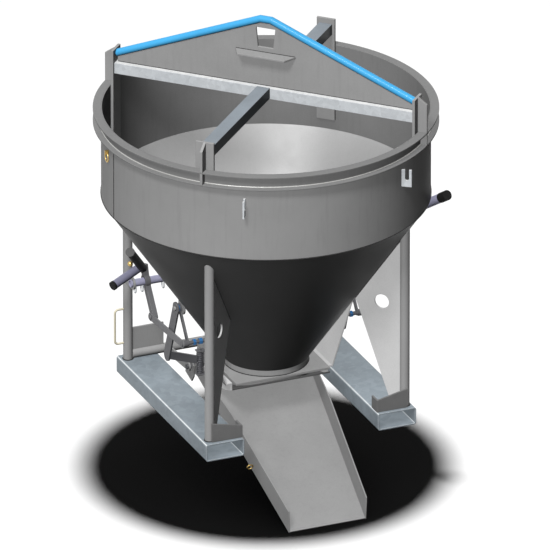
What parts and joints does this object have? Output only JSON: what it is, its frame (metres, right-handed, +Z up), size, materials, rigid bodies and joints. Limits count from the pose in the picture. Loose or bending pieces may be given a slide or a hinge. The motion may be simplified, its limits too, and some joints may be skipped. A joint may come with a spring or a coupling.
{
  "type": "concrete bucket",
  "caption": "Crane-hung concrete bucket: open drum on a cone, lever-worked swinging outlet gate, folding discharge chute, two skids and a triangular lifting frame.",
  "frame": {"origin": "on the drum axis at the level of the skid soles", "axes": "+Z up along the drum axis, -Y towards the chute tip, X across the two skids"},
  "size_m": [1.4998, 1.4998, 2.1406],
  "materials": {
    "body_paint": "satin grey paint",
    "galvanised": "zinc coated",
    "beam_paint": "blue-grey coat",
    "lift_blue": "gloss blue paint",
    "plate_grey": "light grey paint",
    "skid_zinc": "zinc coated",
    "cream": "cream paint",
    "brass": "satin",
    "bolt_blue": "blue coat",
    "steel": "mill finish",
    "gate_dark": "dark paint",
    "lavender": "pale zinc finish",
    "lever_grey": "purple-grey coat",
    "rubber": "matt",
    "disc_grey": "matt",
    "chute_steel": "worn grey paint"
  },
  "bodies": {
    "bucket": {"drum_shell": "body_paint", "rim_channel": "body_paint", "cone_shell": "body_paint", "outlet_spigot": "body_paint", "collar_plate": "body_paint", "post_front_left": "body_paint", "post_front_right": "body_paint", "post_rear_left": "body_paint", "post_rear_right": "body_paint", "beam_main": "galvanised", "beam_front": "beam_paint", "beam_rear": "beam_paint", "lifting_web": "body_paint", "lifting_tube": "lift_blue", "guide_shelf": "body_paint", "leg_front_left": "body_paint", "leg_front_right": "body_paint", "leg_rear_left": "body_paint", "leg_rear_right": "body_paint", "gusset_left": "plate_grey", "gusset_right": "plate_grey", "foot_brackets": "body_paint", "rear_brackets": "body_paint", "rear_tie": "body_paint", "grab_rod": "cream", "skid_left": "skid_zinc", "skid_right": "skid_zinc", "hook_plates": "galvanised", "tag_ring": "brass", "gate_lugs": "body_paint", "gate_nuts": "bolt_blue", "shaft_hanger": "body_paint", "shaft_lug": "body_paint", "handle_tube": "lavender", "handle_cap": "rubber", "hinge_arms": "body_paint", "hinge_rod": "steel"},
    "gate": {"gate_pan": "gate_dark", "gate_side_left": "plate_grey", "gate_side_right": "plate_grey", "gate_arms": "steel", "gate_links": "steel", "gate_bars": "steel", "link_pins": "steel", "link_nuts": "bolt_blue", "spring_rod": "steel", "gate_spring": "steel"},
    "lever": {"operating_shaft": "lavender", "crank_bar": "lever_grey", "shaft_clips": "galvanised", "lever_tube": "lever_grey", "lever_cap": "rubber", "grip_bar": "rubber", "grip_disc": "disc_grey", "lever_knob": "brass"},
    "coupler": {"coupler_bar": "galvanised"},
    "chute": {"chute_floor": "chute_steel", "chute_lips": "chute_steel", "chute_ears": "chute_steel", "chute_eye": "brass"}
  },
  "joints": [
    {"name": "shaft_turn", "type": "hinge", "parent": "bucket", "child": "lever", "pos_m": [-0.38, 0.372, 0.478], "axis": [1, 0, 0], "range_deg": [0, 55]},
    {"name": "gate_swing", "type": "hinge", "parent": "bucket", "child": "gate", "pos_m": [0, 0.019, 0.498], "axis": [1, 0, 0], "range_deg": [0, 55]},
    {"name": "coupler_swing", "type": "hinge", "parent": "lever", "child": "coupler", "pos_m": [-0.4245, 0.28, 0.348], "axis": [1, 0, 0], "range_deg": [-55, 0]},
    {"name": "chute_fold", "type": "hinge", "parent": "bucket", "child": "chute", "pos_m": [0, 0.205, 0.116], "axis": [-1, 0, 0], "range_deg": [0, 20]}
  ],
  "couplings": [
    {"joint": "gate_swing", "follows": "shaft_turn", "ratio": 1},
    {"joint": "coupler_swing", "follows": "shaft_turn", "ratio": -1}
  ]
}
